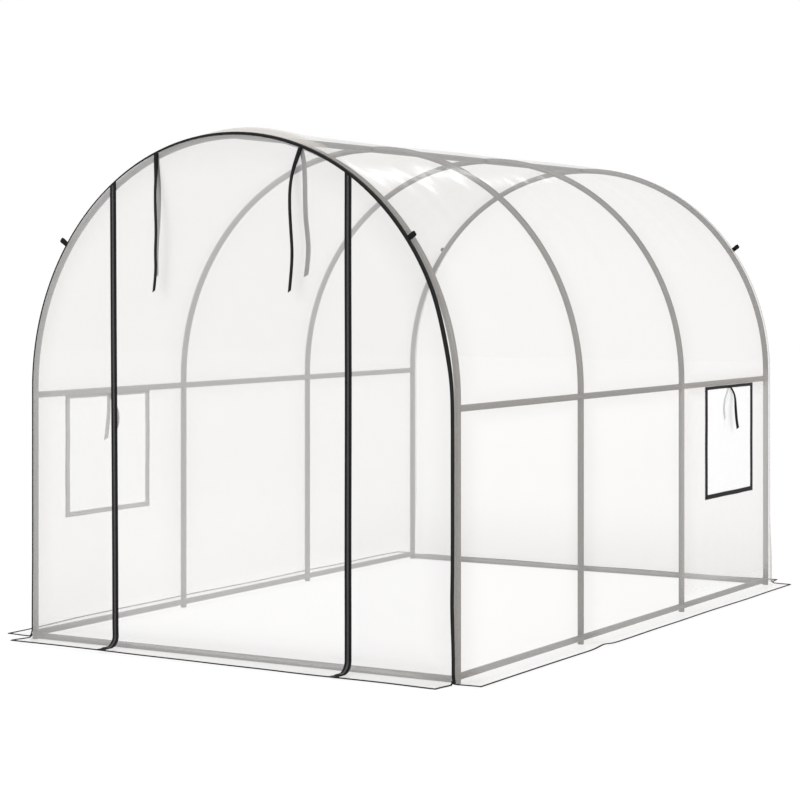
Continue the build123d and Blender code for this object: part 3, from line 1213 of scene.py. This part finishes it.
def make_stitch_tree():
    tree, flow, given = new_tree("stitches", STITCH_SIZES)
    spots = spots_along(flow, given, "Step")
    turn = (0.0, math.pi / 2, 0.0)
    bars = bars_on_path(flow, spots, turn, (0.0, 0.0, 0.0), given["Stitch"], given["Thread"], 5)
    end_tree(tree, flow, bars, thread)
    return tree


stitch_tree = make_stitch_tree()


# %% Stitches
BORDER_ROWS = ((0.011, 0.0026), (0.011, 0.0026), (0.007, 0.0034), (0.0045, 0.0034))
SEAM_ROWS = (-1.5225, -1.5292)
SEAM_RISE = 0.0019
ZIP_ROW = (0.012, 0.0019)


def edge_rows(path, across, rise):
    """Two rows of stitches on a tape, one near each edge."""
    return [
        [(point + way * across * side + rise * up, side, up) for point, side, up in path]
        for way in (-1, 1)
    ]


def seam_row(y):
    runs = steps([-WALL_RUN + 0.01, -ARCH_RUN, ARCH_RUN, WALL_RUN - 0.01], 0.030)
    spots = [cover_point(run, y) for run in runs]
    ahead = Vector((0.0, 1.0, 0.0))
    return [(point + SEAM_RISE * out, ahead, out) for point, out in spots]


stitch_lines = {"front_seam_stitches": [seam_row(y) for y in SEAM_ROWS]}
for name, _ in HANDS:
    lines = []
    for path, row in zip(border_paths[name], BORDER_ROWS):
        lines += edge_rows(path, *row)
    stitch_lines[f"{name}_window_stitches"] = lines
    stitch_lines[f"{name}_zip_stitches"] = edge_rows(zip_paths[name], *ZIP_ROW)
stitches = {}
for name, lines in stitch_lines.items():
    stitches[name] = join_pieces(name, [grow("row", line, stitch_tree) for line in lines])
print("stitches", {name: len(s.data.polygons) for name, s in stitches.items()})

# %% [markdown]
# Guy loops are short tabs of folded webbing, two at each end. The webbing comes out from under the seam
# tape, turns round and goes back, and the eye of the fold takes a guy rope. Its flat side faces the end of
# the tunnel.

# %% Guy loops
LOOP_TURN = math.radians(90.0 - 36.0)
LOOP_Y = 1.5235
LOOP_REACH = 0.0350
LOOP_HALF = 0.010
FOLD_R = 0.0038
FOLD_FOOT = 0.0012


def loop_piece(name, side, facing):
    """A folded tab that stands out from the arch."""
    foot, out = cover_point(side * LOOP_TURN * FILM_R, facing * LOOP_Y)
    ahead = Vector((0.0, facing, 0.0))
    width_axis = ahead.cross(out)
    turn_at = LOOP_REACH - FOLD_R
    rise = [(FOLD_FOOT, -0.002), (FOLD_FOOT, 0.003), (0.7 * FOLD_R, 0.5 * turn_at), (FOLD_R, 0.85 * turn_at)]
    spots = [(-gap, reach) for gap, reach in rise]
    for i in range(9):
        angle = math.pi * (1 - i / 8)
        spots.append((FOLD_R * math.cos(angle), turn_at + FOLD_R * math.sin(angle)))
    spots += reversed(rise)
    points = [foot + gap * ahead + reach * out for gap, reach in spots]
    sections, runs, widths = [], [], None
    for i, point in enumerate(points):
        tip = ease(turn_at - 0.004, LOOP_REACH, spots[i][1])
        up = width_axis.cross(heading(points, i)).normalized()
        section, widths = flat_section(point, width_axis, up, LOOP_HALF - 0.0018 * tip, -0.0009, 0.0009)
        sections.append(section)
        runs.append(0.002 * i)
    return strip_piece(name, sections, runs, black_webbing, widths)


loop_parts = []
for facing in (-1.0, 1.0):
    for side in (-1.0, 1.0):
        loop_parts.append(loop_piece("loop", side, facing))
guy_loops = join_pieces("guy_loop_tabs", loop_parts)
print("guy loops", len(loop_parts))

# %% [markdown]
# The tie straps hold the door and the windows when they are rolled up. Now they hang free, one outside and
# one inside at each place. Their line is a smooth spline through a few given points, and the strap is a
# flat strip that follows points read from that spline. The left and right straps stand out and drop alike,
# and differ in how far they stray sideways.

# %% Tie routes
DOOR_OUTER = [(1.4, 0), (5, 42), (14, 90), (26, 150), (35, 225), (38, 310), (36, 390), (32, 465), (33, 538)]
DOOR_INNER = [(1.4, 0), (4, 40), (11, 84), (19, 138), (24, 205), (25, 275), (23, 342), (20, 410), (20, 480)]
WINDOW_OUTER = [(1.4, 0), (5, 20), (12, 43), (21, 69), (28, 100), (31, 132), (30, 164), (31, 196)]
WINDOW_INNER = [(1.4, 0), (4, 20), (9, 43), (14, 68), (17, 96), (17, 124), (15, 152)]
STRAYS = {
    "left_door_tie_outer": (0, 3, 9, 15, 23, 29, 23, 24, 14),
    "left_door_tie_inner": (0, 0, -1, -2, -7, -11, -16, -17, -16),
    "right_door_tie_outer": (0, -14, -27, -31, -26, -18, -13, -20, -28),
    "right_door_tie_inner": (0, 9, 9, 6, 3, 6, 17, 21, 10),
    "left_window_tie_outer": (0, 8, 18, 28, 35, 34, 28, 22),
    "left_window_tie_inner": (0, 14, 26, 34, 38, 38, 30),
    "right_window_tie_outer": (0, 20, 30, 17, 3, 2, 11, 23),
    "right_window_tie_inner": (0, -5, -13, -20, -20, -17, -10),
}
MM = 0.001
END_SLANT = 0.45
OUTER_DOOR_TWIST = -22.0
OUTER_WINDOW_TWIST = -12.0
DOOR_TIE_X = 0.338
DOOR_TIE_Z = 1.9496
WINDOW_TIE_Z = 0.974
STRAP_HALF = 0.010
STRAP_RISE = 0.0008


def spline_points(points):
    """Points along the smooth spline that has the route's points as its control points."""
    data = bpy.data.curves.new("route", "CURVE")
    data.dimensions = "3D"
    spline = data.splines.new("NURBS")
    spline.points.add(len(points) - 1)
    for spot, point in zip(spline.points, points):
        spot.co = (*point, 1.0)
    spline.order_u = 3
    spline.use_endpoint_u = True
    spline.resolution_u = 6
    carrier = put("route", data)
    mesh = plain_mesh(carrier)
    line = [v.co.copy() for v in mesh.vertices]
    bpy.data.objects.remove(carrier)
    bpy.data.meshes.remove(mesh)
    return line


def strap_piece(name, points, width_axis, twist, material):
    """A flat strap along the spline, twisted below its seam and cut at a slant; gives its line too."""
    line = spline_points(points)
    path = []
    for i, point in enumerate(line):
        turn = math.radians(twist) * ease(0.03, 0.12, line[0].z - point.z)
        across = Matrix.Rotation(turn, 3, "Z") @ width_axis
        path.append((point, across, across.cross(heading(line, i)).normalized()))
    point, across, up = path[-1]
    path[-1] = (point, across + Vector((0.0, 0.0, END_SLANT)), up)
    return tape_along(name, path, STRAP_HALF, -STRAP_RISE, STRAP_RISE, material), line


# %% Tie straps
across_door = Vector((1.0, 0.0, 0.0))
across_window = Vector((0.0, 1.0, 0.0))


def door_spot(side, out, drop, stray):
    """A point of a strap at the door; out is the place along the tunnel."""
    return Vector((side * DOOR_TIE_X + stray * MM, out, DOOR_TIE_Z - drop * MM))


def window_spot(side, out, drop, stray):
    """A point of a strap at a window; out is the distance from the middle of the tunnel."""
    return Vector((side * out, side * WINDOW_Y + stray * MM, WINDOW_TIE_Z - drop * MM))


door_kinds = (
    ("door_tie_outer", -1.5325, -1, DOOR_OUTER, OUTER_DOOR_TWIST, black_webbing, 0.5408),
    ("door_tie_inner", -1.5305, 1, DOOR_INNER, 0.0, grey_webbing, 0.4814),
)
window_kinds = (
    ("window_tie_outer", 1.0038, 1, WINDOW_OUTER, OUTER_WINDOW_TWIST, black_webbing, 0.1997),
    ("window_tie_inner", 1.0003, -1, WINDOW_INNER, 0.0, grey_webbing, 0.1534),
)
ties = []
for spot, axis, kinds in ((door_spot, across_door, door_kinds), (window_spot, across_window, window_kinds)):
    for hand, side in HANDS:
        for kind, face, way, route, twist, material, length in kinds:
            node = f"{hand}_{kind}"
            points = [
                spot(side, face + way * out * MM, drop, stray)
                for (out, drop), stray in zip(route, STRAYS[node])
            ]
            ties.append((node, points, axis, twist, material, length))
straps = {}
for node, points, axis, twist, material, length in ties:
    strap, line = strap_piece(f"{node}_strap", points, axis, twist, material)
    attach(strap, "root")
    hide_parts(node)
    tuple(points[0])
    [tuple(point) for point in line]
    straps[node] = strap
print("tie straps", len(straps))

# %% [markdown]
# A piece hides the plain solid that it replaces and rides on the one body of this object.


# %% Pieces and what they replace
def settle(piece, finish, *nodes):
    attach(piece, "root")
    if nodes:
        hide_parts(*nodes)


cover_nodes = [
    "left_wall_cover", "right_wall_cover", "left_roof_cover", "right_roof_cover", "left_skirt", "right_skirt",
]
settle(cover_sheet, "clear_film", *cover_nodes)
settle(front_left_sheet, "clear_film", "front_left_panel", "front_corner_skirts")
settle(front_right_sheet, "clear_film", "front_right_panel", "front_corner_skirts")
settle(door_sheet, "clear_film", "front_door", "door_skirt")
settle(back_sheet, "clear_film", "back_panel", "back_skirt")
settle(front_seam_tape, "black_tape", "front_edge_binding")
settle(back_seam_strip, "clear_film", "back_edge_binding")
settle(guy_loops, "black_webbing", "guy_loops")
for name in ("left", "right"):
    settle(panes[name], "window_film", f"{name}_window_flap")
    settle(borders[name], "black_tape", f"{name}_window_border")
    settle(zip_tapes[name], "zip", f"{name}_door_zip")
    settle(zip_coils[name], "zip", f"{name}_door_zip")
    settle(sliders[name], "zip", f"{name}_door_zip")
    settle(stops[name], "zip", f"{name}_door_zip")
for hem in hems.values():
    settle(hem, "black_tape", "skirt_edging")
for stitch in stitches.values():
    settle(stitch, "black_tape")

# %% Cut sizes of the film
side_cut = (FILM_R - ZIP_X, arch_height(ZIP_X, -END_Y) - FOOT_Z + SKIRT_RUN)
for name in ("left", "right"):
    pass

# %% [markdown]
# The studio is white all round. The world gives an even light, and looks pure white to the camera and in
# reflections. The floor is pale and keeps the shadow: part of what the camera sees of it is its own light,
# the rest is lit like any surface.


# %% World and floor
def seen_directly(flow):
    """1 for rays that show the surroundings: from the camera, in gloss and through clear things."""
    rays = flow.node("ShaderNodeLightPath").socket.node
    kinds = ("Is Camera Ray", "Is Glossy Ray", "Is Transmission Ray")
    shown = [Flow(flow.tree, rays.outputs[kind]) for kind in kinds]
    return flow.math("MAXIMUM", flow.math("MAXIMUM", shown[0], shown[1]), shown[2])


WORLD_LIGHT = 0.78
world = bpy.data.worlds.new("studio")
scene.world = world
world.use_nodes = True
world_flow = Flow(world.node_tree)
background = world.node_tree.nodes["Background"]
background.inputs["Color"].default_value = (1.0, 1.0, 1.0, 1.0)
strength = WORLD_LIGHT + (1.0 - WORLD_LIGHT) * seen_directly(world_flow)
world.node_tree.links.new(strength.socket, background.inputs["Strength"])

FLOOR_HALF = 30.0
FLOOR_Z = -0.0015
floor_corners = [(x * FLOOR_HALF, y * FLOOR_HALF) for x, y in ((-1, -1), (1, -1), (1, 1), (-1, 1))]
floor_material = bpy.data.materials.new("pale_floor")
floor_material.use_nodes = True
tree = floor_material.node_tree
tree.nodes.clear()
floor_flow = Flow(tree)
where = floor_flow.node("ShaderNodeTexCoord", out="Object")
mottle = speckle(floor_flow, where, 2.0, 2.0)
pale = blend_colours(floor_flow, mottle, grey(0.86), grey(0.88))
lit = floor_flow.node("ShaderNodeBsdfDiffuse", None, {"Color": pale})
half_lit = floor_flow.node("ShaderNodeBsdfDiffuse", None, {"Color": grey(0.20)})
away = floor_flow.node("ShaderNodeVectorMath", {"operation": "LENGTH"}, {0: where}, out="Value")
spread = {"Value": away, 1: 3.0, 2: 14.0, 3: 0.84, 4: 0.87}
own_light = floor_flow.node("ShaderNodeMapRange", {"interpolation_type": "SMOOTHSTEP"}, spread)
glow = floor_flow.node("ShaderNodeEmission", None, {"Color": grey(1.0), "Strength": own_light})
shown = floor_flow.node("ShaderNodeAddShader", None, {0: half_lit, 1: glow})
mixed = floor_flow.node("ShaderNodeMixShader", None, {0: seen_directly(floor_flow), 1: lit, 2: shown})
surface = tree.nodes.new("ShaderNodeOutputMaterial")
tree.links.new(mixed.socket, surface.inputs["Surface"])
floor_points = [Vector((x, y, FLOOR_Z)) for x, y in floor_corners]
floor = add_object("floor", floor_points, [(0, 1, 2, 3)], floor_corners, floor_material)
print("floor", floor.name)

# %% [markdown]
# Two large soft lamps add a little form: one from the front and left, one low fill from the right. A third
# lamp stands behind, to the left and above, where the film of the roof mirrors it towards the camera as
# soft glare.


# %% Lamps
def area_lamp(name, place, target, size, power, along=(1.0, 0.0, 0.0)):
    """A soft lamp that looks at a target; its long side follows a direction as far as it can."""
    data = bpy.data.lights.new(name, "AREA")
    data.shape = "RECTANGLE"
    data.size, data.size_y = size
    data.energy = power
    lamp = put(name, data)
    lamp.location = place
    back = (Vector(place) - Vector(target)).normalized()
    across = (Vector(along) - back * back.dot(Vector(along))).normalized()
    lamp.rotation_euler = Matrix((across, back.cross(across), back)).transposed().to_euler()
    lamp.visible_camera = False
    return lamp


key = area_lamp("key", (-4.5, -6.5, 6.5), (0.0, 0.0, 0.9), (4.5, 4.5), 260.0)
fill = area_lamp("fill", (7.5, -2.5, 4.0), (0.0, 0.0, 0.8), (4.0, 4.0), 165.0)
glare = area_lamp("glare", (-1.6, 5.95, 5.45), (0.5, -0.8, 1.9), (1.5, 0.46), 14.0, (0.0, 1.0, 0.0))
print("lamps", key.name, fill.name, glare.name)

# %% [markdown]
# The colours are shown as they are written. The dressed one has to fit the same box.

# %% Finish
scene.view_settings.view_transform = "Standard"
